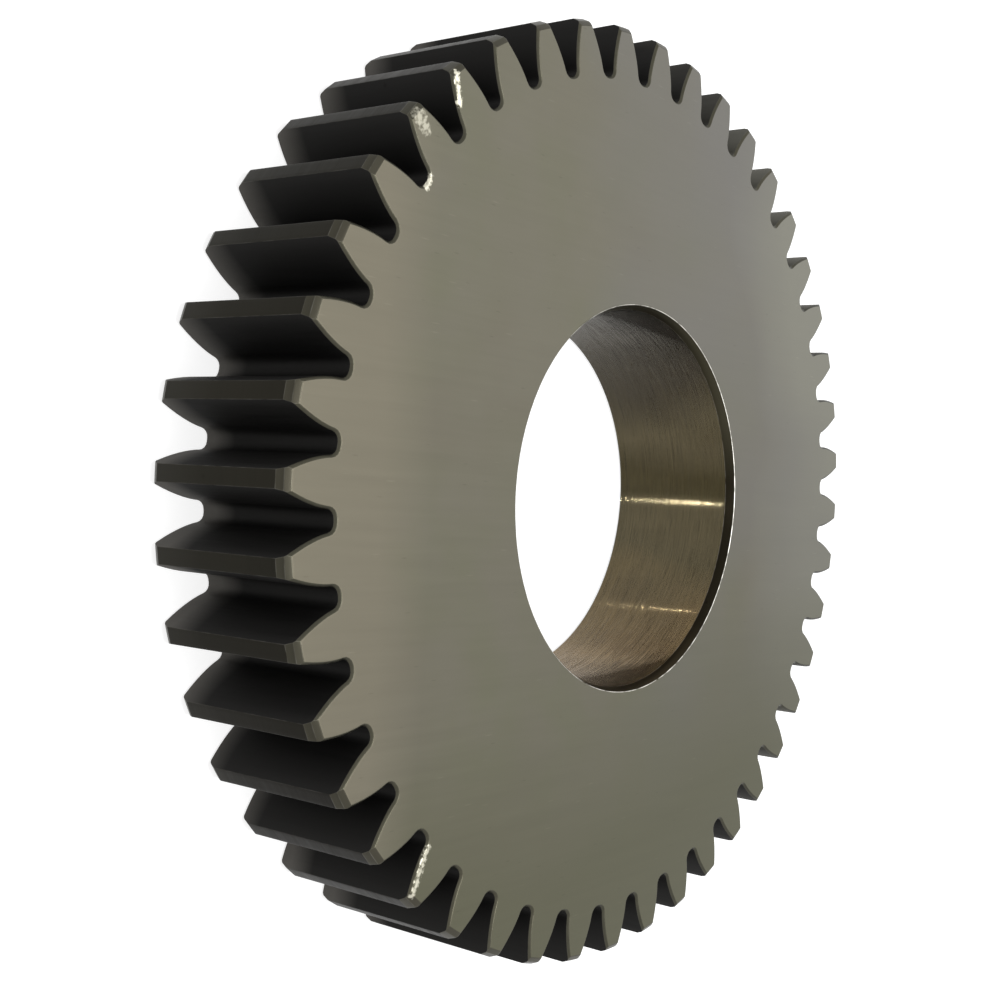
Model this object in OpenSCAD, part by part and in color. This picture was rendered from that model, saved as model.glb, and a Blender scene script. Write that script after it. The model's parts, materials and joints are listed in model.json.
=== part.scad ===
// Planet gear: a spur gear cut from one steel blank, with ground involute teeth and a plain bore.
// Sizes are in millimetres. The gear lies on its back face, centred on Z, with its front face up.

/* [Teeth] */
// Number of teeth
teeth = 44; // [42:1:60]
// Module, the pitch diameter divided by the number of teeth
tooth_module = 5; // [4.5:0.25:6]
// Pressure angle of the flanks at the pitch circle, in degrees
pressure_angle = 20; // [19.5:0.5:22]
// Tooth height above the pitch circle, in modules
addendum = 1; // [0.9:0.02:1.1]
// Tooth depth below the pitch circle, in modules
dedendum = 1.56; // [1.4:0.02:1.6]
// Radius of the fillet between a flank and the floor of a gap, in modules
root_fillet = 0.38; // [0.28:0.02:0.44]
// Metal taken off each tooth at the pitch circle, for running backlash
backlash = 0.15; // [0:0.05:0.5]
// Edge break where the flanks and the floors of the gaps meet the end faces
edge_break = 0.5; // [0.2:0.05:0.7]

/* [Blank] */
// Width across the two end faces
face_width = 39; // [25:0.5:70]
// Drop of the long bevel that leads in from the tooth tips
lead_bevel_drop = 0.7; // [0.3:0.05:1]
// Length of that long bevel along the axis
lead_bevel_length = 1.55; // [0.6:0.05:3]
// Drop of the short bevel that meets the end face
end_bevel_drop = 1.15; // [0.4:0.05:2]
// Length of that short bevel along the axis
end_bevel_length = 0.8; // [0.3:0.05:2]

/* [Bore] */
// Diameter of the plain ground bore
bore_d = 95; // [60:0.5:130]
// Depth of the chamfer at the front end of the bore, into the wall
bore_chamfer_depth = 1; // [0.5:0.1:4]
// Length of that chamfer along the axis
bore_chamfer_length = 2.5; // [0.5:0.1:5]
// Edge break at the back end of the bore
bore_edge_break = 0.6; // [0.2:0.1:3]

/* [Smoothness] */
// Straight steps along each flank
flank_steps = 6; // [4:1:9]
// Straight steps round each root fillet
fillet_steps = 4; // [3:1:6]
// Straight steps round a turned surface
round_steps = 180; // [60:12:360]

/* [Hidden] */
steel_colour = [0.49, 0.48, 0.43];

pitch_r = teeth * tooth_module / 2;
base_r = pitch_r * cos(pressure_angle);
tip_r = pitch_r + addendum * tooth_module;
root_r = pitch_r - dedendum * tooth_module;
fillet_r = root_fillet * tooth_module;
bore_r = bore_d / 2;

// How far the gap cutter reaches past the blank, so that no skin is left at the tips or the end faces
overcut = tooth_module / 10;
cutter_r = tip_r + overcut;

function degrees(radians) = radians * 180 / PI;
function polar(r, angle) = r * [cos(angle), sin(angle)];

// Involute function of a pressure angle, in degrees
function involute(angle) = degrees(tan(angle)) - angle;

// Angle from the middle of a gap to the foot of its involute on the base circle
pitch_tooth = PI * tooth_module / 2 - backlash;
foot_angle = 180 / teeth - degrees(pitch_tooth / 2 / pitch_r) - involute(pressure_angle);

// Angle from the middle of a gap to its flank at a radius. A flank moved into the metal by an inset
// is the same involute turned.
function gap_half(r, inset) = foot_angle + degrees(inset / base_r) + involute(acos(base_r / r));

// The root fillet is a circle that touches the floor of the gap and the flank. Its centre is one
// fillet radius from both, so it lies on the flank moved out of the metal by that radius.
centre_r = root_r + fillet_r;
centre_reach = sqrt(centre_r ^ 2 - base_r ^ 2);
centre_angle = gap_half(centre_r, -fillet_r);
fillet_sweep = 90 - acos(base_r / centre_r);

function fillet(inset) = [
    for (i = [0 : fillet_steps])
        polar(centre_r, centre_angle)
            + polar(fillet_r + inset, centre_angle + 180 - fillet_sweep * i / fillet_steps)
];

function flank(inset) =
    let (contact_r = norm([base_r, centre_reach - fillet_r - inset]))
        [
            for (i = [1 : flank_steps])
                let (r = contact_r + (cutter_r - contact_r) * i / flank_steps)
                    polar(r, gap_half(r, inset))
        ];

// Outline of one gap with its edge moved into the metal by an inset: in along one flank, round the
// floor, out along the other flank, and closed across its mouth
function gap_outline(inset) =
    let (side = concat(fillet(inset), flank(inset)), last = len(side) - 1)
        concat(
            [for (i = [last : -1 : 0]) [side[i].x, -side[i].y]],
            side,
            [[cutter_r + overcut, 0]]
        );

// One gap as a solid: straight along the axis, and flared at both ends by the edge break
module gap_cutter() {
    flare = edge_break + overcut;
    levels = [
        [-overcut, flare],
        [edge_break, 0],
        [face_width - edge_break, 0],
        [face_width + overcut, flare],
    ];
    count = len(gap_outline(0));
    points = [for (level = levels) for (p = gap_outline(level[1])) [p.x, p.y, level[0]]];
    sides = [
        for (k = [0 : len(levels) - 2])
            for (i = [0 : count - 1])
                let (a = k * count + i, b = k * count + (i + 1) % count)
                    for (face = [[a, b, a + count], [b, b + count, a + count]])
                        face
    ];
    bottom = [for (i = [count - 1 : -1 : 0]) i];
    top = [for (i = [0 : count - 1]) (len(levels) - 1) * count + i];
    polyhedron(points, concat(sides, [bottom, top]));
}

// The gaps between the teeth, with a tooth centred on X
module tooth_gaps() {
    for (i = [0 : teeth - 1])
        rotate((i + 0.5) * 360 / teeth)
            gap_cutter();
}

// The turned blank: plain bore, two flat end faces, and two bevels down from the tips at each end
module turned_blank() {
    bevel_length = lead_bevel_length + end_bevel_length;
    bevel_drop = lead_bevel_drop + end_bevel_drop;
    rotate_extrude($fn = round_steps)
        polygon([
            [bore_r, bore_edge_break],
            [bore_r + bore_edge_break, 0],
            [tip_r - bevel_drop, 0],
            [tip_r - lead_bevel_drop, end_bevel_length],
            [tip_r, bevel_length],
            [tip_r, face_width - bevel_length],
            [tip_r - lead_bevel_drop, face_width - end_bevel_length],
            [tip_r - bevel_drop, face_width],
            [bore_r + bore_chamfer_depth, face_width],
            [bore_r, face_width - bore_chamfer_length],
        ]);
}

module planet_gear() {
    color(steel_colour)
        difference() {
            turned_blank();
            tooth_gaps();
        }
}

planet_gear();
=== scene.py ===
"""Planet gear in ground steel, lying on its back face in a plain pale studio.

The gear is one surface worked out with numpy from the same driving sizes as the solid: involute flanks,
root fillets, broken edges, bevelled tips and a chamfered bore. Each machined surface has its own finish.
"""
import json
import math

import bpy
import numpy as np
from bpy.props import FloatProperty, FloatVectorProperty, IntProperty, PointerProperty
from bpy.types import Operator, Panel, PropertyGroup
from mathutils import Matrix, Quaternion, Vector


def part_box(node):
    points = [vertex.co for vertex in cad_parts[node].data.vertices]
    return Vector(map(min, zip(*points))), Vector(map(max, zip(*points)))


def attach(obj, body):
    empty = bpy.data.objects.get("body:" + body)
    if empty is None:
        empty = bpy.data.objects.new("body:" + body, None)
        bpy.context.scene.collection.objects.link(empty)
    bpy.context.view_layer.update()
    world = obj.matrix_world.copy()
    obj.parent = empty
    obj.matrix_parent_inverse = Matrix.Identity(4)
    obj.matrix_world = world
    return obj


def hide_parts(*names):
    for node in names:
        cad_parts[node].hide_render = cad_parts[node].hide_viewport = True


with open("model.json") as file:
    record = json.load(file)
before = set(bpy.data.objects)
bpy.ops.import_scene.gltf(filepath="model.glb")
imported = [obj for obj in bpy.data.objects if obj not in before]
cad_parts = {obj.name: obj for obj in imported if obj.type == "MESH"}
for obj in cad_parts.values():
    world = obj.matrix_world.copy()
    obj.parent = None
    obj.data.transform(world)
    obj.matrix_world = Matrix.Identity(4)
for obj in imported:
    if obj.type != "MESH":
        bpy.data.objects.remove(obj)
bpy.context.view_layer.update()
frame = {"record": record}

bl_info = {
    "name": "Planet Gear Studio",
    "version": (1, 0, 0),
    "blender": (4, 5, 0),
    "location": "3D View > Sidebar > Planet Gear",
    "description": "Dresses a planet gear in ground steel and sets a pale studio round it",
    "category": "Object",
}

NODE = "planet_gear"
BODY = "root"
MM = 0.001
NODE_LOW, NODE_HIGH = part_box(NODE)
BORE = next(mount for mount in frame["record"]["mounts"] if mount["name"] == "bore")


class GearSizes(PropertyGroup):
    """The gear's driving sizes, the same as the solid's"""

    teeth: IntProperty(name="Teeth", description="Number of teeth", default=44, min=20)
    tip_r: FloatProperty(
        name="Tip radius", description="From the axis to the tooth tips",
        default=(NODE_HIGH.x - NODE_LOW.x) / 2, unit="LENGTH",
    )
    width: FloatProperty(
        name="Width", description="Across the two end faces",
        default=NODE_HIGH.z - NODE_LOW.z, unit="LENGTH",
    )
    bore_r: FloatProperty(
        name="Bore radius", description="From the axis to the ground bore wall",
        default=BORE["dims"]["r_mm"] * MM, unit="LENGTH",
    )
    module: FloatProperty(
        name="Module", description="Pitch diameter over the number of teeth",
        default=5 * MM, unit="LENGTH", precision=4,
    )
    pressure_angle: FloatProperty(
        name="Pressure angle", description="Slope of the flanks at the pitch circle",
        default=math.radians(20), subtype="ANGLE",
    )
    dedendum: FloatProperty(
        name="Dedendum", description="Tooth depth below the pitch circle",
        default=7.8 * MM, unit="LENGTH", precision=4,
    )
    fillet_r: FloatProperty(
        name="Root fillet", description="Radius between a flank and the floor of a gap",
        default=1.9 * MM, unit="LENGTH", precision=4,
    )
    backlash: FloatProperty(
        name="Backlash", description="Metal taken off each tooth at the pitch circle",
        default=0.15 * MM, unit="LENGTH", precision=5,
    )
    lead_bevel: FloatVectorProperty(
        name="Lead bevel", description="Drop and length of the long bevel at the tips",
        default=(0.7 * MM, 1.55 * MM), size=2, unit="LENGTH", precision=5,
    )
    end_bevel: FloatVectorProperty(
        name="End bevel", description="Drop and length of the short bevel at the end face",
        default=(1.15 * MM, 0.8 * MM), size=2, unit="LENGTH", precision=5,
    )
    bore_chamfer: FloatVectorProperty(
        name="Bore chamfer", description="Depth and length of the chamfer at the front end of the bore",
        default=(1.0 * MM, 2.5 * MM), size=2, unit="LENGTH", precision=5,
    )
    bore_break: FloatProperty(
        name="Bore edge break", description="Bevel at the back end of the bore",
        default=0.6 * MM, unit="LENGTH", precision=5,
    )
    edge_break: FloatProperty(
        name="Edge break", description="Bevel where flanks and gap floors meet the end faces",
        default=0.5 * MM, unit="LENGTH", precision=5,
    )
    rounding: FloatProperty(
        name="Rounding", description="How far each crisp edge is rounded to either side",
        default=0.14 * MM, unit="LENGTH", precision=5,
    )


class GearFinish(PropertyGroup):
    """Colours of the machined surfaces"""

    face: FloatVectorProperty(
        name="End face", description="Satin ground end face",
        default=(0.1350, 0.1325, 0.0948), size=3, subtype="COLOR",
    )
    # The flank's near-black colour is partly painted shade: it stands in for the dark room that the ground
    # flank reflects.
    flank: FloatVectorProperty(
        name="Flank", description="Dark oiled tooth flank",
        default=(0.0205, 0.0199, 0.0190), size=3, subtype="COLOR",
    )
    # The tip land's dark colour is partly painted shade, as the flank's is: it stands in for the dark room
    # that the land reflects.
    land: FloatVectorProperty(
        name="Tip land", description="Top of the teeth",
        default=(0.0146, 0.0137, 0.0104), size=3, subtype="COLOR",
    )
    lead: FloatVectorProperty(
        name="Lead bevel", description="Long bevel at the tips",
        default=(0.042, 0.040, 0.030), size=3, subtype="COLOR",
    )
    end: FloatVectorProperty(
        name="End bevel", description="Short bevel at the end face",
        default=(0.062, 0.059, 0.044), size=3, subtype="COLOR",
    )
    edge: FloatVectorProperty(
        name="Edge break", description="Broken edges of the flanks and gap floors",
        default=(0.064, 0.062, 0.046), size=3, subtype="COLOR",
    )
    # The bore's dark colour is partly painted shade: it stands in for the dark room that the ground wall
    # reflects.
    bore: FloatVectorProperty(
        name="Bore", description="Ground bore wall",
        default=(0.0970, 0.0815, 0.0470), size=3, subtype="COLOR",
    )
    # The chamfer's near-black colour is partly painted shade, darkened against the light that falls on it.
    chamfer: FloatVectorProperty(
        name="Bore chamfer", description="Dark turned chamfer and edge break at the ends of the bore",
        default=(0.0167, 0.0142, 0.0090), size=3, subtype="COLOR",
    )
    # Bright metal on worn edges, and the painted highlight of the bore's rim, where the wear is far above 1.
    glint: FloatVectorProperty(
        name="Worn edge", description="Bright metal on the edges",
        default=(0.85, 0.83, 0.76), size=3, subtype="COLOR",
    )
    # Bare metal at a knock, and partly the painted highlight that the knocked edge catches.
    nick_glint: FloatVectorProperty(
        name="Fresh nick", description="Bare metal where an edge has been knocked",
        default=(0.86, 0.83, 0.68), size=3, subtype="COLOR",
    )


class StudioSetup(PropertyGroup):
    """Camera, lamps and floor"""

    camera_place: FloatVectorProperty(
        name="Camera place", description="Where the camera stands",
        default=(0.0004, -0.2842, 0.2312), size=3, subtype="TRANSLATION", precision=4,
    )
    camera_aim: FloatVectorProperty(
        name="Camera aim", description="Point on the front face that the view axis meets",
        default=(0.0083, 0.0063, 0.039), size=3, subtype="TRANSLATION", precision=4,
    )
    camera_roll: FloatProperty(
        name="Camera roll", description="Turn of the camera about its own axis",
        default=math.radians(94.067), subtype="ANGLE",
    )
    camera_lens: FloatProperty(
        name="Lens", description="Focal length in millimetres on a 36 mm sensor",
        default=48.97, unit="CAMERA",
    )
    camera_shift: FloatVectorProperty(
        name="Shift", description="Shift of the picture off the view axis, in picture widths",
        default=(-0.15, 0.0329), size=2, precision=4,
    )
    floor_colour: FloatVectorProperty(
        name="Floor", description="Colour of the pale floor",
        default=(0.40, 0.40, 0.40), size=3, subtype="COLOR",
    )
    floor_lift: FloatProperty(
        name="Floor lift", description="Strength of the floor's own light where it is seen",
        default=0.78, min=0, max=1, subtype="FACTOR",
    )
    surround: FloatProperty(
        name="Surround", description="Strength of the even light from all round",
        default=0.75, min=0, max=1, subtype="FACTOR",
    )


SECTIONS = {
    "planet_gear_sizes": GearSizes,
    "planet_gear_finish": GearFinish,
    "planet_gear_studio": StudioSetup,
}

# Finishes of the gear's surface, in the order of its material slots
END_FACE, FLANK, LAND, LEAD_BEVEL, END_BEVEL, EDGE_BREAK, BORE_WALL, BORE_CHAMFER = range(8)

# Knocks along the front edges of the teeth, painted bright: their cream colour is partly bare metal and
# partly a painted highlight of light on the knocked edge. Where each starts and ends and its reach, in
# metres, and its brightness
NICKS_WITH_PAINTED_GLINTS = (
    ((-0.0851, -0.0748, 0.039), (-0.0794, -0.0734, 0.039), 0.0011, 1.0),
    ((-0.0738, -0.0851, 0.039), (-0.0718, -0.0830, 0.039), 0.0020, 0.40),
    ((-0.0627, -0.0808, 0.039), (-0.0603, -0.0818, 0.039), 0.0009, 0.85),
    ((0.0849, -0.0753, 0.039), (0.0754, -0.0712, 0.039), 0.0010, 0.65),
    ((0.0539, -0.0944, 0.039), (0.0541, -0.0944, 0.039), 0.0008, 0.6),
)

# How much the teeth's outline on the end faces and the ends of the bore's wall wear, beside the bore's rim,
# which wears fully: there the bright edge colour is a painted highlight, the rim's bright line
TOOTH_FACE_WEAR, BORE_WALL_WEAR = 0.05, 0.08

# Points along each stretch of half a gap, and round each rounded edge
FLOOR_POINTS, FILLET_POINTS, FLANK_POINTS, LAND_POINTS, ROUND_POINTS = 2, 5, 8, 2, 3

# In roundings: how far from the rim and the bore the flat of an end face starts, how much string a flank
# stops short of the tip's edge, and how near to an end face a ring still counts as lying in it
FACE_MARGIN, TIP_MARGIN, FLAT_MARGIN = 3, 1.2, 0.01

# Ranges of noise over which a drift of colour, the wear of an edge and a knock's crumbs grow from 0 to 1
DRIFT_RANGE, WEAR_RANGE, CRUMB_RANGE = (0.4, 0.7), (0.3, 0.7), (0.55, 0.80)

# Waves a metre in a worn edge and in the crumbled metal of a knock, the power that evens out the edge's
# wear, and how strongly the crumbs gather at the middle of the knock
WEAR_WAVES, CRUMB_WAVES, WEAR_POWER, CRUMB_PULL = 420.0, 1100.0, 0.7, 0.35


def rounded_path(corners, reach):
    """A polyline with its inner corners rounded.

    Each corner C gives way to the parabola (1-t)^2 A + 2t(1-t) C + t^2 B, where A and B lie on its two
    sides, one reach from it. Returns the points, and for each whether it is the middle of a corner.
    """
    corners = np.asarray(corners, float)
    middle = corners[1:-1]
    sides = [corners[:-2] - middle, corners[2:] - middle]
    ends = [middle + side * reach / np.linalg.norm(side, axis=1, keepdims=True) for side in sides]
    t = np.linspace(0, 1, ROUND_POINTS)[None, :, None]
    curve = (1 - t) ** 2 * ends[0][:, None] + 2 * t * (1 - t) * middle[:, None] + t ** 2 * ends[1][:, None]
    points = np.concatenate([corners[:1], curve.reshape(-1, corners.shape[1]), corners[-1:]])
    crest = np.tile(np.arange(ROUND_POINTS) == ROUND_POINTS // 2, len(middle))
    return points, np.concatenate([[False], crest, [False]])


def rim_levels(sizes):
    """Height, inset of the tooth outline and tip radius at each level of the rim, from bottom to top."""
    lead_drop, lead_length = sizes.lead_bevel
    end_drop, end_length = sizes.end_bevel
    half, cut, tip = sizes.width / 2, sizes.edge_break, sizes.tip_r
    hold = FACE_MARGIN * sizes.rounding
    slope = end_drop / end_length
    upper, crest = rounded_path([
        (0, 0, tip),
        (half - lead_length - end_length, 0, tip),
        (half - end_length, 0, tip - lead_drop),
        (half - cut, 0, tip - lead_drop - slope * (end_length - cut)),
        (half, cut, tip - lead_drop - end_drop),
        (half, cut + hold, tip - lead_drop - end_drop - hold),
    ], sizes.rounding)
    levels = np.concatenate([upper[::-1] * (-1, 1, 1), upper[1:]])
    return levels + (half, 0, 0), np.concatenate([crest[::-1], crest[1:]])


def tooth_outline(sizes, inset, top_r):
    """Rows of points round all the teeth as complex numbers, one row for each inset and tip radius.

    Half a gap runs along the floor circle, round the fillet, up the involute and along the tip circle.
    The involute is the end of a taut string of length L unwound from the base circle: its radius is
    sqrt(base^2 + L^2) and its angle L/base - atan(L/base). Moved into the metal by an inset, it is the
    same curve turned by inset/base, and the fillet keeps its centre and grows by the inset.
    """
    inset, top_r = inset[:, None], top_r[:, None]
    pitch_r = sizes.teeth * sizes.module / 2
    base = pitch_r * math.cos(sizes.pressure_angle)
    root_r = pitch_r - sizes.dedendum
    half_pitch = math.pi / sizes.teeth
    tooth = math.pi * sizes.module / 2 - sizes.backlash
    foot = half_pitch - tooth / 2 / pitch_r - math.tan(sizes.pressure_angle) + sizes.pressure_angle

    def flank(length, offset):
        """The involute where its string has a length, moved into the metal by an offset."""
        angle = foot + (offset + length) / base - np.arctan(length / base)
        return np.hypot(base, length) * np.exp(1j * angle)

    centre_length = math.sqrt((root_r + sizes.fillet_r) ** 2 - base ** 2)
    centre = flank(centre_length, -sizes.fillet_r)
    centre_angle = np.angle(centre)
    sweep = math.pi / 2 - math.atan(centre_length / base)

    floor_angle = centre_angle * np.linspace(0, 1, FLOOR_POINTS, endpoint=False)
    floor = (root_r - inset) * np.exp(1j * floor_angle)
    turn = centre_angle + math.pi - sweep * np.linspace(0, 1, FILLET_POINTS)
    fillet = centre + (sizes.fillet_r + inset) * np.exp(1j * turn)

    first = centre_length - sizes.fillet_r - inset
    last = np.sqrt(top_r ** 2 - base ** 2)
    near = last - sizes.rounding * TIP_MARGIN
    share = np.linspace(0, 1, FLANK_POINTS + 1)[1:]
    side = flank(first + (near - first) * share, inset)

    corner = flank(last, inset)
    round_end = corner * np.exp(1j * sizes.rounding / top_r)
    t = np.linspace(0, 1, ROUND_POINTS)[1:]
    rounded = (1 - t) ** 2 * side[:, -1:] + 2 * t * (1 - t) * corner + t ** 2 * round_end
    across = np.linspace(0, 1, LAND_POINTS + 1)[1:]
    land = top_r * np.exp(1j * (np.angle(round_end) * (1 - across) + half_pitch * across))

    half = np.concatenate([floor, fillet, side, rounded, land], axis=1)
    gap = np.concatenate([np.conj(half[:, :0:-1]), half[:, :-1]], axis=1)
    turns = np.exp(2j * half_pitch * (np.arange(sizes.teeth) + 0.5))
    return (gap[:, None, :] * turns[None, :, None]).reshape(len(half), -1)


def column_facts(teeth):
    """For each point round the teeth, whether the stretch after it is land, and whether it is a tip edge."""
    before_land = FLOOR_POINTS + FILLET_POINTS + FLANK_POINTS
    crest = before_land - 1 + ROUND_POINTS // 2
    count = before_land + ROUND_POINTS - 1 + LAND_POINTS
    stretch = np.arange(count - 1)
    land = stretch >= crest
    edge = np.arange(count) == crest
    gap_land = np.concatenate([land[::-1], land])
    gap_edge = np.concatenate([edge[:0:-1], edge[:-1]])
    return np.tile(gap_land, teeth), np.tile(gap_edge, teeth)


def bore_levels(sizes):
    """Radius and height of each ring inside the gear, down the bore from the top face to the bottom one."""
    depth, length = sizes.bore_chamfer
    back, hold = sizes.bore_break, FACE_MARGIN * sizes.rounding
    return rounded_path([
        (sizes.bore_r + depth + hold, sizes.width),
        (sizes.bore_r + depth, sizes.width),
        (sizes.bore_r, sizes.width - length),
        (sizes.bore_r, back),
        (sizes.bore_r + back, 0),
        (sizes.bore_r + back + hold, 0),
    ], sizes.rounding)


def gear_surface(sizes):
    """The whole gear as one closed grid: rings up the rim, over the top face, down the bore and back.

    Returns the points, the faces, each face's finish and how much each point's edge wears.
    """
    rim, rim_crest = rim_levels(sizes)
    outline = tooth_outline(sizes, rim[:, 1], rim[:, 2])
    bore, bore_crest = bore_levels(sizes)
    direction = outline[0] / np.abs(outline[0])
    plan = np.concatenate([outline, bore[:, :1] * direction])
    height = np.concatenate([rim[:, 0], bore[:, 1]])
    rings, count = plan.shape
    points = np.stack([plan.real, plan.imag, np.broadcast_to(height[:, None], plan.shape)], axis=-1)

    grid = np.arange(rings * count).reshape(rings, count)
    up, right = np.roll(grid, -1, axis=0), np.roll(grid, -1, axis=1)
    faces = np.stack([grid, right, np.roll(up, -1, axis=1), up], axis=-1).reshape(-1, 4)

    land, tip_edge = column_facts(sizes.teeth)
    tall = np.abs(height - sizes.width / 2)
    depth = sizes.width / 2 - (tall + np.roll(tall, -1)) / 2
    flat = depth < sizes.rounding * FLAT_MARGIN
    in_bore = (np.arange(rings) >= len(rim))[:, None] & ~flat[:, None]
    depth = depth[:, None]
    finish = np.where(land, LAND, FLANK) + np.zeros((rings, 1), int)
    finish[land & (depth < sizes.lead_bevel[1] + sizes.end_bevel[1])] = LEAD_BEVEL
    finish[land & (depth < sizes.end_bevel[1])] = END_BEVEL
    finish[~land & (depth < sizes.edge_break)] = EDGE_BREAK
    middle = (height + np.roll(height, -1)) / 2
    wall = (middle > sizes.bore_break) & (middle < sizes.width - sizes.bore_chamfer[1])
    finish[in_bore[:, 0] & wall] = BORE_WALL
    finish[in_bore[:, 0] & ~wall] = BORE_CHAMFER
    finish[flat] = END_FACE

    crest = np.concatenate([rim_crest, bore_crest])[:, None]
    on_rim = (np.arange(rings) < len(rim))[:, None]
    near_end = (sizes.width / 2 - tall)[:, None]
    on_face = near_end < sizes.rounding
    break_level = np.abs(near_end - sizes.edge_break) < sizes.rounding
    bevel_level = near_end > sizes.edge_break + sizes.rounding
    wears = ~on_rim | on_face | np.where(land | np.roll(land, 1), bevel_level, break_level)
    edge = (crest & wears) | (on_rim & tip_edge & (near_end > sizes.rounding))
    rim_wear = np.where(on_face, TOOTH_FACE_WEAR, 1.0)
    bore_wear = np.where(on_face, 1.0, BORE_WALL_WEAR)
    wear = edge * np.where(on_rim, rim_wear, bore_wear)
    return points.reshape(-1, 3), faces, finish.reshape(-1), wear.reshape(-1)


def mesh_object(name, points, faces, finish, materials):
    """A smooth mesh object at the origin, with the given faces in the given material slots."""
    mesh = bpy.data.meshes.new(name)
    mesh.from_pydata(points.tolist(), [], faces.tolist())
    for material in materials:
        mesh.materials.append(material)
    mesh.polygons.foreach_set("material_index", finish)
    mesh.polygons.foreach_set("use_smooth", np.ones(len(faces), bool))
    mesh.update()
    piece = bpy.data.objects.new(name, mesh)
    bpy.context.scene.collection.objects.link(piece)
    return piece


def add(tree, kind, inputs=None, **settings):
    """A new node with its settings made, and its inputs set to values or linked to sockets."""
    node = tree.nodes.new(kind)
    for key, value in settings.items():
        setattr(node, key, value)
    for key, value in (inputs or {}).items():
        if isinstance(value, bpy.types.NodeSocket):
            tree.links.new(value, node.inputs[key])
        else:
            node.inputs[key].default_value = value
    return node


def maths(tree, operation, *values):
    """The result of a Math node on two or three values or sockets."""
    return add(tree, "ShaderNodeMath", dict(enumerate(values)), operation=operation).outputs[0]


def vector_maths(tree, operation, first, second):
    """The outputs of a Vector Math node on two vectors or sockets."""
    return add(tree, "ShaderNodeVectorMath", {0: first, 1: second}, operation=operation).outputs


def scaled(tree, vector, factor):
    """A vector or a colour times a factor."""
    return add(tree, "ShaderNodeVectorMath", {0: vector, 3: factor}, operation="SCALE").outputs[0]


def ramp(tree, value, start, end):
    """How far a value has gone from the start of a range to its end, from 0 to 1."""
    inputs = {"Value": value, "From Min": start, "From Max": end}
    return add(tree, "ShaderNodeMapRange", inputs).outputs[0]


def mixed(tree, share, under, over):
    """One colour changed into another by a share."""
    inputs = {"Factor": share, 6: under, 7: over}
    return add(tree, "ShaderNodeMix", inputs, data_type="RGBA").outputs[2]


def noise(tree, vector, scale, detail):
    """Noise of a scale, with finer noise added to it as often as detail says."""
    inputs = {"Vector": vector, "Scale": scale, "Detail": detail}
    return add(tree, "ShaderNodeTexNoise", inputs).outputs["Fac"]


def new_group(name, inputs, outputs):
    """A shader node group with named sockets; returns its tree, its input sockets and its output node."""
    tree = bpy.data.node_groups.new(name, "ShaderNodeTree")
    kinds = {"value": "NodeSocketFloat", "vector": "NodeSocketVector", "colour": "NodeSocketColor"}
    for label, kind in inputs.items():
        tree.interface.new_socket(label, in_out="INPUT", socket_type=kinds[kind])
    for label, kind in outputs.items():
        tree.interface.new_socket(label, in_out="OUTPUT", socket_type=kinds[kind])
    return tree, tree.nodes.new("NodeGroupInput").outputs, tree.nodes.new("NodeGroupOutput")


def streaks_group():
    """Grinding or turning marks: noise squeezed by a different number of waves a metre along each axis."""
    tree, given, result = new_group(
        "machining_marks", {"Vector": "vector", "Waves": "vector", "Coarse": "vector"},
        {"Fine": "value", "Broad": "value"},
    )
    for waves, label in (("Waves", "Fine"), ("Coarse", "Broad")):
        squeezed = vector_maths(tree, "MULTIPLY", given["Vector"], given[waves])[0]
        tree.links.new(noise(tree, squeezed, 1.0, 3.0), result.inputs[label])
    return tree


def drift_and_painted_light_group():
    """One colour drifting into another, by soft noise that leans towards one side of the object. Where it
    leans, the drift is painted light and shade: the surface lighter or darker on that side.
    """
    tree, given, result = new_group(
        "colour_drift_and_painted_light",
        {"Vector": "vector", "Scale": "value", "Seed": "value", "Under": "colour", "Over": "colour",
         "Lean": "vector", "Bias": "value"},
        {"Color": "colour"},
    )
    cloud = add(
        tree, "ShaderNodeTexNoise",
        {"Vector": given["Vector"], "W": given["Seed"], "Scale": given["Scale"], "Detail": 2.0,
         "Roughness": 0.45},
        noise_dimensions="4D",
    ).outputs["Fac"]
    lean = vector_maths(tree, "DOT_PRODUCT", given["Vector"], given["Lean"])["Value"]
    height = maths(tree, "ADD", maths(tree, "ADD", cloud, lean), given["Bias"])
    share = ramp(tree, height, *DRIFT_RANGE)
    tree.links.new(mixed(tree, share, given["Under"], given["Over"]), result.inputs["Color"])
    return tree


def specks_group():
    """Small marks: the cores of scattered cells, stretched by the squeeze of the coordinates."""
    tree, given, result = new_group(
        "specks", {"Vector": "vector", "Waves": "vector", "Size": "value", "Share": "value"},
        {"Mask": "value"},
    )
    squeezed = vector_maths(tree, "MULTIPLY", given["Vector"], given["Waves"])[0]
    cells = add(tree, "ShaderNodeTexVoronoi", {"Vector": squeezed, "Scale": 1.0}).outputs
    core = ramp(tree, cells["Distance"], given["Size"], 0.0)
    pick = add(tree, "ShaderNodeSeparateColor", {0: cells["Color"]}).outputs[0]
    kept = maths(tree, "LESS_THAN", pick, given["Share"])
    tree.links.new(maths(tree, "MULTIPLY", core, kept), result.inputs["Mask"])
    return tree


def wear_group():
    """Bright edges: the edge attribute, broken up along its length by noise."""
    tree, given, result = new_group(
        "edge_wear", {"Vector": "vector", "Edge": "value", "Breakup": "value", "Amount": "value"},
        {"Mask": "value"},
    )
    patch = ramp(tree, noise(tree, given["Vector"], given["Breakup"], 4.0), *WEAR_RANGE)
    edge = maths(tree, "POWER", given["Edge"], WEAR_POWER)
    mask = maths(tree, "MULTIPLY", maths(tree, "MULTIPLY", edge, patch), given["Amount"])
    tree.links.new(mask, result.inputs["Mask"])
    return tree


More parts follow.
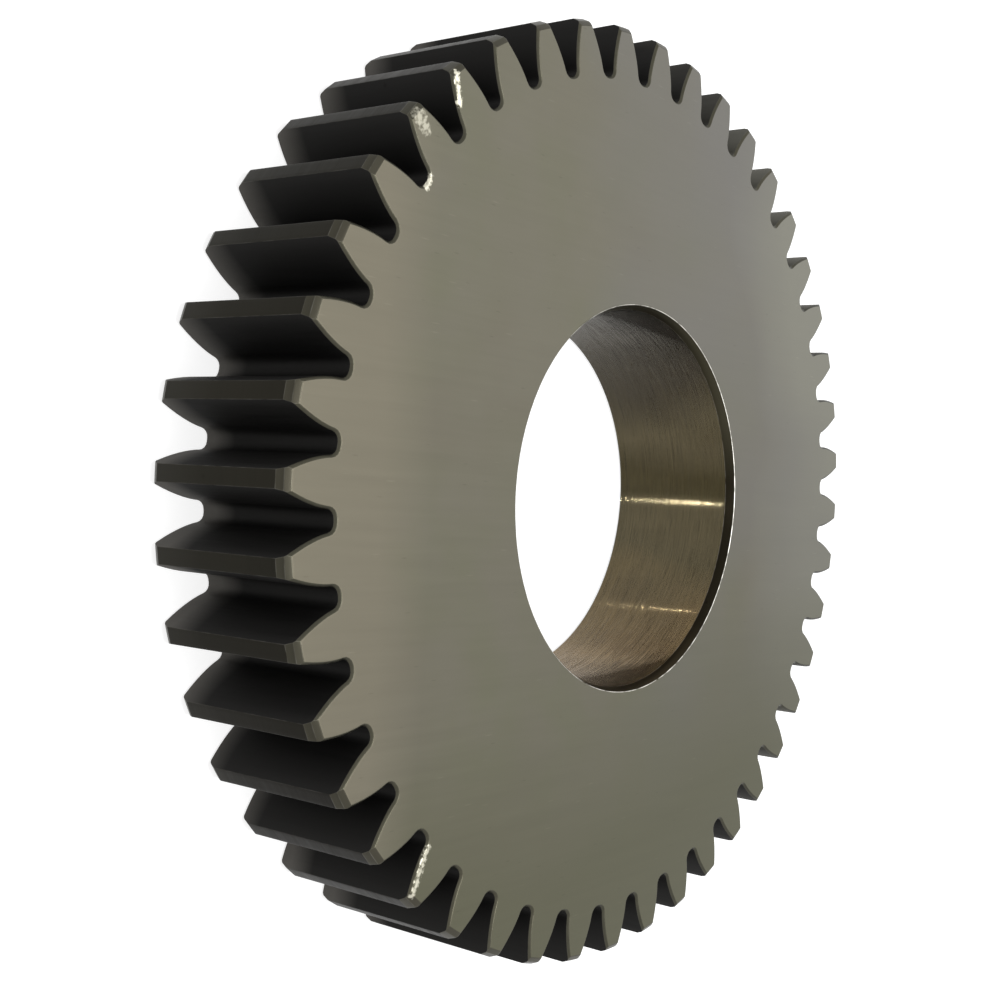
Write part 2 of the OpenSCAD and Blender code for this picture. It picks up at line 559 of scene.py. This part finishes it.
def nick_group():
    """A knock: within reach of a line from its start, with crumbled metal made by noise. Its bright metal is
    partly a painted highlight.

    The nearest point of the line is its start plus the share of its length that the offset covers.
    """
    tree, given, result = new_group(
        "nick",
        {"Vector": "vector", "Start": "vector", "Length": "vector", "Reach": "value", "Light": "value"},
        {"Mask": "value"},
    )
    length = given["Length"]
    offset = vector_maths(tree, "SUBTRACT", given["Vector"], given["Start"])[0]
    covered = vector_maths(tree, "DOT_PRODUCT", offset, length)["Value"]
    whole = vector_maths(tree, "DOT_PRODUCT", length, length)["Value"]
    share = add(tree, "ShaderNodeMath", {0: covered, 1: whole}, operation="DIVIDE", use_clamp=True)
    nearest = scaled(tree, length, share.outputs[0])
    away = vector_maths(tree, "DISTANCE", offset, nearest)["Value"]
    near = maths(tree, "SUBTRACT", 1.0, maths(tree, "DIVIDE", away, given["Reach"]))
    crumbs = noise(tree, given["Vector"], CRUMB_WAVES, 2.0)
    height = maths(tree, "MULTIPLY_ADD", near, CRUMB_PULL, crumbs)
    inside = maths(tree, "GREATER_THAN", near, 0.0)
    mask = maths(tree, "MULTIPLY", ramp(tree, height, *CRUMB_RANGE), inside)
    tree.links.new(maths(tree, "MULTIPLY", mask, given["Light"]), result.inputs["Mask"])
    return tree


def steel(name, groups, colour, finish, roughness, fine, broad, **look):
    """A machined steel: drifting colour, marks in colour, gloss and height, specks, nicks and worn edges.
    Colour that leans towards one side is painted light and shade, the bright nicks are partly painted
    highlights, and edges worn far above 1 are a painted highlight.

    Each tint is the colour's factors, the side that it leans towards, its bias and its scale. A later tint
    covers the earlier ones, so the fine ones come first and the broad ones last. Fine and broad marks are
    given by their waves a metre along each axis, nicks as NICKS_WITH_PAINTED_GLINTS says, and ridges by
    their waves a metre, their depth in mm and the reach of their slope in pixels. Grazing is the metal's
    tint at flat angles.
    """
    look = {
        "tints": (), "mark_depth": 0.12, "roughness_swing": 0.08, "relief": 0.003,
        "speck_waves": (260.0, 160.0, 260.0), "speck_size": 0.16, "speck_share": 0.12, "speck_dark": 0.35,
        "speck_depth": 0.5,
        "scratch_waves": (900.0, 60.0, 900.0), "scratch_size": 0.2, "scratch_share": 0.0,
        "scratch_light": 0.3,
        "wear": 0.6, "grazing": 1.0, "anisotropic": 0.0, "grain_axis": None, "nicks": (), "ridges": None,
        **look,
    }
    material = bpy.data.materials.new(name)
    material.use_nodes = True
    tree = material.node_tree
    tree.nodes.clear()
    place = add(tree, "ShaderNodeTexCoord").outputs["Object"]

    def group(kind, inputs):
        """The outputs of one of the shared groups, on the object's own coordinates."""
        return add(tree, "ShaderNodeGroup", {"Vector": place, **inputs}, node_tree=groups[kind]).outputs

    tone_and_painted_light = (*colour, 1.0)
    # Drifts that lean towards a side paint light and shade; drifts that don't lean are the steel's own
    # uneven tone.
    for seed, (factors, lean, bias, scale) in enumerate(look["tints"]):
        tone_and_painted_light = group("drift", {
            "Scale": scale, "Seed": float(seed), "Under": tone_and_painted_light,
            "Over": (*(c * f for c, f in zip(colour, factors)), 1.0), "Lean": lean, "Bias": bias,
        })["Color"]
    marks = group("streaks", {"Waves": fine, "Coarse": broad})
    specks = group("specks", {
        "Waves": look["speck_waves"], "Size": look["speck_size"], "Share": look["speck_share"],
    })["Mask"]
    scratches = group("specks", {
        "Waves": look["scratch_waves"], "Size": look["scratch_size"], "Share": look["scratch_share"],
    })["Mask"]
    edge = add(tree, "ShaderNodeAttribute", attribute_name="edge").outputs["Fac"]
    wear = group("wear", {"Edge": edge, "Breakup": WEAR_WAVES, "Amount": look["wear"]})["Mask"]

    both = maths(tree, "ADD", marks["Fine"], marks["Broad"])
    centred = maths(tree, "SUBTRACT", both, 1.0)
    shade = maths(tree, "MULTIPLY_ADD", centred, look["mark_depth"] * 2, 1.0)
    for mask, change in ((specks, -look["speck_dark"]), (scratches, look["scratch_light"])):
        shade = maths(tree, "MULTIPLY", shade, maths(tree, "MULTIPLY_ADD", mask, change, 1.0))
    worn = mixed(tree, wear, scaled(tree, tone_and_painted_light, shade), (*finish.glint, 1.0))
    for start, end, reach, light in look["nicks"]:
        length = Vector(end) - Vector(start)
        nick = group("nick", {"Start": start, "Length": length, "Reach": reach, "Light": light})["Mask"]
        worn = mixed(tree, nick, worn, (*finish.nick_glint, 1.0))

    rough = maths(tree, "MULTIPLY_ADD", centred, look["roughness_swing"] * 2, roughness)
    height = maths(tree, "MULTIPLY_ADD", specks, -look["speck_depth"], both)
    bump = add(tree, "ShaderNodeBump", {"Height": height, "Distance": look["relief"] * MM}).outputs["Normal"]
    if look["ridges"]:
        waves, depth, reach = look["ridges"]
        ridges = noise(tree, vector_maths(tree, "MULTIPLY", place, waves)[0], 1.0, 0.0)
        bump = add(
            tree, "ShaderNodeBump",
            {"Height": ridges, "Distance": depth * MM, "Filter Width": reach, "Normal": bump},
        ).outputs["Normal"]
    inputs = {
        "Base Color": worn, "Metallic": 1.0, "Roughness": rough, "Normal": bump,
        "Specular Tint": (look["grazing"], look["grazing"], look["grazing"], 1.0),
        "Anisotropic": look["anisotropic"],
    }
    if look["grain_axis"]:
        inputs["Tangent"] = add(tree, "ShaderNodeCombineXYZ", dict(enumerate(look["grain_axis"]))).outputs[0]
    shader = add(tree, "ShaderNodeBsdfPrincipled", inputs)
    add(tree, "ShaderNodeOutputMaterial", {"Surface": shader.outputs[0]})
    return material


def gear_materials(finish):
    """The finish of each machined surface, in the order of the material slots."""
    groups = {
        "streaks": streaks_group(), "drift": drift_and_painted_light_group(), "specks": specks_group(), "wear": wear_group(),
        "nick": nick_group(),
    }
    face = steel(
        "ground_end_face", groups, finish.face, finish,
        roughness=0.42, fine=(1400.0, 60.0, 60.0), broad=(500.0, 18.0, 18.0),
        # The two drifts that don't lean are the steel's own tone. The leaning ones are painted light and
        # shade: lighter towards +Y, darker towards +X, and lighter along the -Y edge. Their mauve hue
        # towards +Y is a tint of the steel.
        tints=(
            ((1.02, 0.97, 1.04), (0.0, 0.0, 0.0), 0.04, 30.0),
            ((1.05, 1.01, 1.09), (0.0, 0.0, 0.0), 0.04, 70.0),
            ((1.05, 1.03, 1.30), (-1.4, 3.2, 0.0), -0.08, 14.0),
            ((1.30, 1.30, 1.50), (-1.5, 6.5, 0.0), -0.40, 14.0),
            ((0.83, 0.83, 0.79), (7.0, 0.0, 0.0), -0.42, 5.0),
            ((1.22, 1.14, 1.20), (0.0, -20.0, 0.0), -1.72, 5.0),
        ),
        mark_depth=0.035, roughness_swing=0.02, relief=0.002, speck_waves=(900.0, 160.0, 300.0),
        speck_share=0.14, speck_dark=0.20, scratch_waves=(1100.0, 120.0, 300.0), scratch_share=0.08,
        # Wear far above 1 makes the bore's rim a bright line: a painted highlight as well as wear.
        scratch_light=0.20, wear=1.8, nicks=NICKS_WITH_PAINTED_GLINTS,
    )
    flank = steel(
        "flank_with_painted_reflections", groups, finish.flank, finish,
        roughness=0.68, fine=(1500.0, 1500.0, 60.0), broad=(300.0, 300.0, 20.0),
        # Both drifts are painted reflections: the flank is lighter towards +Y and towards its back end.
        tints=(
            ((5.0, 5.0, 4.4), (-1.0, 5.0, 0.0), -0.25, 14.0),
            ((4.6, 4.5, 4.3), (0.0, 0.0, -40.0), 0.25, 14.0),
        ),
        wear=0.05, speck_share=0.05, grazing=0.75,
    )
    land = steel(
        "tip_land", groups, finish.land, finish,
        roughness=0.42, fine=(90.0, 90.0, 1800.0), broad=(30.0, 30.0, 500.0),
        # The first drift is the steel's own tone. The other two are painted shade and light: darker towards
        # +X and lighter towards the back end.
        tints=(
            ((1.3, 1.25, 1.2), (0.0, 0.0, 0.0), 0.0, 14.0),
            ((0.66, 0.62, 0.62), (10.0, 0.0, 0.0), -0.40, 14.0),
            ((1.8, 1.8, 1.9), (0.0, 0.0, -20.0), 0.20, 14.0),
        ),
        wear=0.05, grazing=0.72,
    )
    lead = steel(
        "lead_bevel", groups, finish.lead, finish,
        roughness=0.40, fine=(90.0, 90.0, 2200.0), broad=(40.0, 40.0, 700.0),
        tints=(((1.15, 1.1, 1.1), (0.0, 0.0, 0.0), 0.0, 14.0),), wear=0.07,
    )
    end = steel(
        "end_bevel", groups, finish.end, finish,
        roughness=0.38, fine=(90.0, 90.0, 2200.0), broad=(40.0, 40.0, 700.0),
        tints=(((1.15, 1.1, 1.1), (0.0, 0.0, 0.0), 0.0, 14.0),), wear=0.1, nicks=NICKS_WITH_PAINTED_GLINTS,
    )
    edge = steel(
        "edge_break", groups, finish.edge, finish,
        roughness=0.38, fine=(700.0, 700.0, 700.0), broad=(250.0, 250.0, 250.0),
        tints=(
            ((1.25, 1.2, 1.15), (0.0, 0.0, 0.0), 0.0, 14.0),
            # This drift is painted shade: the edge break is darker towards +Y.
            ((0.45, 0.45, 0.42), (0.0, 9.0, 0.0), -0.60, 14.0),
        ),
        wear=0.05, nicks=NICKS_WITH_PAINTED_GLINTS,
    )
    bore = steel(
        "ground_bore", groups, finish.bore, finish,
        roughness=0.12, fine=(60.0, 60.0, 2600.0), broad=(14.0, 14.0, 700.0),
        # These drifts are painted shade and painted reflection: the wall is darker towards -X and lighter
        # towards +X. The olive and brown hues that come with them are a tint of the steel.
        tints=(
            ((0.62, 0.61, 0.52), (-90.0, 0.0, 0.0), -0.085, 14.0),
            ((0.95, 0.95, 0.95), (-40.0, 0.0, 0.0), -0.39, 14.0),
            ((0.53, 0.53, 0.59), (-20.0, 0.0, 0.0), -0.59, 14.0),
            ((1.95, 1.59, 1.26), (14.0, 0.0, 0.0), -0.286, 14.0),
        ),
        mark_depth=0.02, roughness_swing=0.0, relief=0.0005, anisotropic=1.0, grain_axis=(0.0, 0.0, 1.0),
        ridges=((80.0, 80.0, 20000.0), 0.05, 0.002), speck_waves=(160.0, 160.0, 420.0), speck_share=0.14,
    )
    chamfer = steel(
        "bore_chamfer", groups, finish.chamfer, finish,
        roughness=0.40, fine=(60.0, 60.0, 2600.0), broad=(14.0, 14.0, 700.0),
        # Both drifts are painted reflection: the chamfer is lighter towards -X and towards +X.
        tints=(
            ((3.3, 3.5, 3.6), (-18.0, 0.0, 0.0), -0.31, 14.0),
            ((3.2, 2.9, 2.6), (25.0, 0.0, 0.0), -0.85, 14.0),
        ),
        # Wear far above 1 makes the bore's rim a bright line: a painted highlight as well as wear.
        wear=1.8,
    )
    return [face, flank, land, lead, end, edge, bore, chamfer]


def dress_gear(context):
    """The finished gear in place of the solid, with its edges marked for wear."""
    scene = context.scene
    points, faces, finish, wear = gear_surface(scene.planet_gear_sizes)
    materials = gear_materials(scene.planet_gear_finish)
    piece = mesh_object(NODE + "_ground", points, faces, finish, materials)
    piece.data.attributes.new("edge", "FLOAT", "POINT").data.foreach_set("value", wear)
    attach(piece, BODY)
    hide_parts(NODE)


# How far the floor reaches to each side, in metres
FLOOR_REACH = 6.0


def seen_directly(tree):
    """1 for camera, glossy and transmission rays, and 0 for the light that falls on diffuse surfaces."""
    path = add(tree, "ShaderNodeLightPath").outputs
    mirror = maths(tree, "MAXIMUM", path["Is Glossy Ray"], path["Is Transmission Ray"])
    return maths(tree, "MAXIMUM", path["Is Camera Ray"], mirror)


def make_floor(studio):
    """A wide pale floor that shows white where it is lit and keeps the gear's shadow."""
    corners = np.array([(-1, -1, 0), (1, -1, 0), (1, 1, 0), (-1, 1, 0)], float) * FLOOR_REACH
    material = bpy.data.materials.new("pale_floor")
    material.use_nodes = True
    tree = material.node_tree
    tree.nodes.clear()
    paint = add(tree, "ShaderNodeBsdfDiffuse", {"Color": (*studio.floor_colour, 1.0)})
    strength = maths(tree, "MULTIPLY", seen_directly(tree), studio.floor_lift)
    lift = add(tree, "ShaderNodeEmission", {"Strength": strength})
    both = add(tree, "ShaderNodeAddShader", {0: paint.outputs[0], 1: lift.outputs[0]})
    add(tree, "ShaderNodeOutputMaterial", {"Surface": both.outputs[0]})
    faces = np.array([[0, 1, 2, 3]])
    floor = mesh_object("floor", corners, faces, np.zeros(1, int), [material])


def make_surround(studio):
    """Even light from all round; white where it is seen directly or in the metal."""
    world = bpy.data.worlds.new("surround")
    world.use_nodes = True
    tree = world.node_tree
    tree.nodes.clear()
    extra = maths(tree, "MULTIPLY", seen_directly(tree), 1.0 - studio.surround)
    strength = maths(tree, "ADD", extra, studio.surround)
    sky = add(tree, "ShaderNodeBackground", {"Color": (1.0, 1.0, 1.0, 1.0), "Strength": strength})
    add(tree, "ShaderNodeOutputWorld", {"Surface": sky.outputs[0]})
    bpy.context.scene.world = world


# Each lamp: where it stands and what it points at in metres, its width in metres and its watts, and for a
# spot the cone in degrees. The two spots light only the bore's wall, where they leave a bright line each.
LAMPS = {
    "far_softbox": ((-0.6, 1.5, 1.0), (0.0, 0.0, 0.03), 1.2, 2.2, None),
    "high_softbox": ((0.0, 0.0, 1.8), (0.0, 0.0, 0.03), 1.0, 24.0, None),
    "near_spot": ((0.0, -0.9, 0.46), (0.0, 0.0475, 0.016), 0.014, 15.7, 2.0),
    "side_spot": ((-0.83, -0.26, 0.44), (0.027, 0.039, 0.016), 0.014, 9.0, 2.0),
}

# Share of a spot's cone over which its light fades out
SPOT_BLEND = 0.3

# Width of the camera's sensor in millimetres, and how near and how far it sees in metres
SENSOR_WIDTH, NEAREST, FARTHEST = 36.0, 0.01, 100.0


def make_lamps():
    """The lamps: square softboxes, and a spot where a cone is given."""
    for name, (place, aim, size, watts, cone) in LAMPS.items():
        lamp = bpy.data.lights.new(name, "SPOT" if cone else "AREA")
        lamp.energy = watts
        if cone:
            lamp.spot_size = math.radians(cone)
            lamp.spot_blend = SPOT_BLEND
            lamp.shadow_soft_size = size / 2
        else:
            lamp.size = size
        holder = bpy.data.objects.new(name, lamp)
        holder.location = place
        holder.rotation_mode = "QUATERNION"
        holder.rotation_quaternion = (Vector(aim) - Vector(place)).to_track_quat("-Z", "Y")
        bpy.context.scene.collection.objects.link(holder)


def make_camera(studio):
    """The camera of the photograph: its place, aim, roll, lens and shift."""
    lens = bpy.data.cameras.new("camera")
    lens.sensor_width = SENSOR_WIDTH
    lens.lens = studio.camera_lens
    lens.shift_x, lens.shift_y = studio.camera_shift
    lens.clip_start, lens.clip_end = NEAREST, FARTHEST
    camera = bpy.data.objects.new("camera", lens)
    camera.location = studio.camera_place
    camera.rotation_mode = "QUATERNION"
    upright = (Vector(studio.camera_aim) - Vector(studio.camera_place)).to_track_quat("-Z", "Y")
    camera.rotation_quaternion = upright @ Quaternion((0, 0, 1), studio.camera_roll)
    bpy.context.scene.collection.objects.link(camera)
    bpy.context.scene.camera = camera


class PLANETGEAR_OT_gear(Operator):
    """Make the gear's finished surface with its machined finishes"""

    bl_idname = "planet_gear.make_gear"
    bl_label = "Make gear"

    def execute(self, context):
        dress_gear(context)
        return {"FINISHED"}


class PLANETGEAR_OT_stage(Operator):
    """Make the floor, the surround, the lamps and the camera"""

    bl_idname = "planet_gear.make_stage"
    bl_label = "Make stage"

    def execute(self, context):
        studio = context.scene.planet_gear_studio
        context.scene.view_settings.view_transform = "Standard"
        make_floor(studio)
        make_surround(studio)
        make_lamps()
        make_camera(studio)
        return {"FINISHED"}


class PLANETGEAR_PT_panel(Panel):
    """Planet gear pieces, sizes and finishes"""

    bl_label = "Planet Gear"
    bl_idname = "PLANETGEAR_PT_panel"
    bl_space_type = "VIEW_3D"
    bl_region_type = "UI"
    bl_category = "Planet Gear"

    def draw(self, context):
        for operator in OPERATORS:
            self.layout.operator(operator.bl_idname)
        for section, kind in SECTIONS.items():
            box = self.layout.box()
            for name in kind.__annotations__:
                box.prop(getattr(context.scene, section), name)


OPERATORS = (PLANETGEAR_OT_gear, PLANETGEAR_OT_stage)
CLASSES = (*SECTIONS.values(), *OPERATORS, PLANETGEAR_PT_panel)


def register():
    for kind in CLASSES:
        bpy.utils.register_class(kind)
    for section, kind in SECTIONS.items():
        setattr(bpy.types.Scene, section, PointerProperty(type=kind))


def unregister():
    for section in SECTIONS:
        delattr(bpy.types.Scene, section)
    for kind in reversed(CLASSES):
        bpy.utils.unregister_class(kind)


def main():
    register()
    bpy.ops.planet_gear.make_gear()
    bpy.ops.planet_gear.make_stage()


if __name__ == "__main__":
    main()
